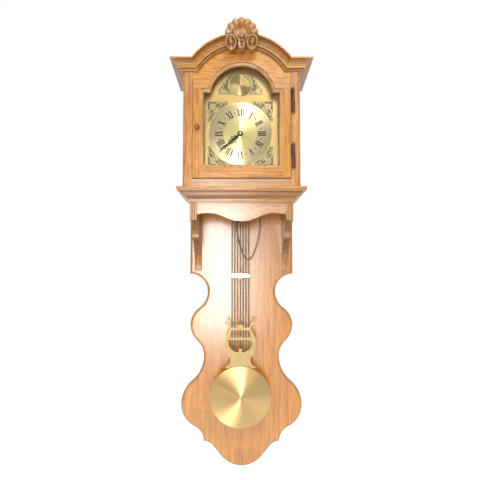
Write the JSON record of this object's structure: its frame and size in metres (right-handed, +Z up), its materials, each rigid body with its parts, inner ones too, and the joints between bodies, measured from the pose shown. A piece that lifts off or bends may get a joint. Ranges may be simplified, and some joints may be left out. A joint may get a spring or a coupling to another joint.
{
  "type": "wall clock",
  "caption": "Wall-hung hooded pendulum clock: scroll-cut backboard, console on brackets, arched hood with glazed door, brass arched dial, train, gridiron pendulum and link chain.",
  "frame": {"origin": "centre of the hanging hole in the backboard, at the wall plane", "axes": "+Z up, +Y into the wall, +X to the viewer's right; the front faces -Y"},
  "size_m": [0.359, 0.2317, 1.1795],
  "materials": {
    "oak": "satin lacquered golden oak",
    "carved_oak": "carved oak with darker stain in the hollows",
    "oak_bead": "dark stained bead",
    "pine": "plain planed softwood",
    "glass": "clear",
    "dark_bronze": "dark bronzed",
    "hinge_brass": "darkened",
    "catch": "matt brown",
    "steel": "bright",
    "dial_brass": "fine brushed",
    "ring_brass": "brushed along the radius",
    "spandrel_brass": "cast and darkened in the recesses",
    "polished_brass": "polished and lacquered",
    "hand_steel": "black",
    "movement_brass": "machined",
    "rod_brass": "drawn rods, satin",
    "chain_steel": "dull bronzed"
  },
  "bodies": {
    "case": {"backboard": "oak", "bracket_left": "oak", "bracket_right": "oak", "apron": "oak", "console_moulding_front": "oak", "console_returns": "oak", "seat_board": "pine", "seat_cheeks": "pine", "hood_side_left": "oak", "hood_side_right": "oak", "hood_stile_left": "oak", "hood_stile_right": "oak", "hood_bottom_rail": "oak", "hood_tympanum": "oak", "hood_roof": "pine", "cornice_front": "oak", "cornice_arch": "oak", "cornice_returns": "oak", "crest_shell": "carved_oak", "hinge_frame_leaves": "hinge_brass", "hinge_pins": "hinge_brass", "catch_magnet": "catch", "dial_plate": "dial_brass", "chapter_ring": "ring_brass", "dial_centre": "ring_brass", "corner_spandrels": "spandrel_brass", "arch_spandrels": "spandrel_brass", "arch_boss": "polished_brass", "front_plate": "movement_brass", "back_plate": "movement_brass", "plate_pillars": "movement_brass", "suspension_post": "movement_brass", "chain": "chain_steel", "chain_hooks": "movement_brass"},
    "door": {"door_stile_left": "oak", "door_stile_right": "oak", "door_bottom_rail": "oak", "door_head": "oak", "door_glass": "glass", "door_glass_beads": "oak_bead", "door_knob": "dark_bronze", "hinge_door_leaves": "hinge_brass", "catch_plate": "steel"},
    "minute": {"centre_wheel": "movement_brass", "minute_hand": "hand_steel", "hand_nut": "movement_brass"},
    "hour": {"hour_wheel": "movement_brass", "hour_hand": "hand_steel"},
    "motion": {"minute_wheel": "movement_brass"},
    "great": {"great_wheel": "movement_brass"},
    "third": {"third_wheel": "movement_brass"},
    "escape": {"escape_wheel": "movement_brass"},
    "anchor": {"anchor": "steel"},
    "pendulum": {"suspension_spring": "steel", "pendulum_leader": "steel", "pendulum_rods": "rod_brass", "pendulum_clip": "polished_brass", "lyre": "polished_brass", "bob": "polished_brass", "rating_nut": "movement_brass"}
  },
  "joints": [
    {"name": "door_hinge", "type": "hinge", "parent": "case", "child": "door", "pos_m": [0.1305, -0.195, -0.1545], "axis": [0, 0, 1], "range_deg": [0, 110]},
    {"name": "minute_turn", "type": "hinge", "parent": "case", "child": "minute", "pos_m": [-0.003, -0.15, -0.159], "axis": [0, 1, 0], "continuous": true},
    {"name": "hour_turn", "type": "hinge", "parent": "case", "child": "hour", "pos_m": [-0.003, -0.15, -0.159], "axis": [0, 1, 0], "continuous": true},
    {"name": "great_turn", "type": "hinge", "parent": "case", "child": "great", "pos_m": [0.04, -0.15, -0.16923], "axis": [0, 1, 0], "continuous": true},
    {"name": "third_turn", "type": "hinge", "parent": "case", "child": "third", "pos_m": [-0.017, -0.15, -0.13475], "axis": [0, 1, 0], "continuous": true},
    {"name": "escape_turn", "type": "hinge", "parent": "case", "child": "escape", "pos_m": [-0.003, -0.15, -0.11777], "axis": [0, 1, 0], "continuous": true},
    {"name": "motion_turn", "type": "hinge", "parent": "case", "child": "motion", "pos_m": [-0.01676, -0.15, -0.16864], "axis": [0, 1, 0], "continuous": true},
    {"name": "pendulum_swing", "type": "hinge", "parent": "case", "child": "pendulum", "pos_m": [-0.003, -0.073, -0.09302], "axis": [0, 1, 0], "range_deg": [-3, 3]},
    {"name": "anchor_rock", "type": "hinge", "parent": "case", "child": "anchor", "pos_m": [-0.003, -0.11, -0.09302], "axis": [0, 1, 0], "range_deg": [-3, 3]}
  ],
  "couplings": [
    {"joint": "hour_turn", "follows": "minute_turn", "ratio": 0.083333},
    {"joint": "great_turn", "follows": "minute_turn", "ratio": -0.083333},
    {"joint": "third_turn", "follows": "minute_turn", "ratio": -9},
    {"joint": "escape_turn", "follows": "minute_turn", "ratio": 70.875},
    {"joint": "motion_turn", "follows": "minute_turn", "ratio": -0.33333},
    {"joint": "anchor_rock", "follows": "pendulum_swing", "ratio": 1}
  ]
}
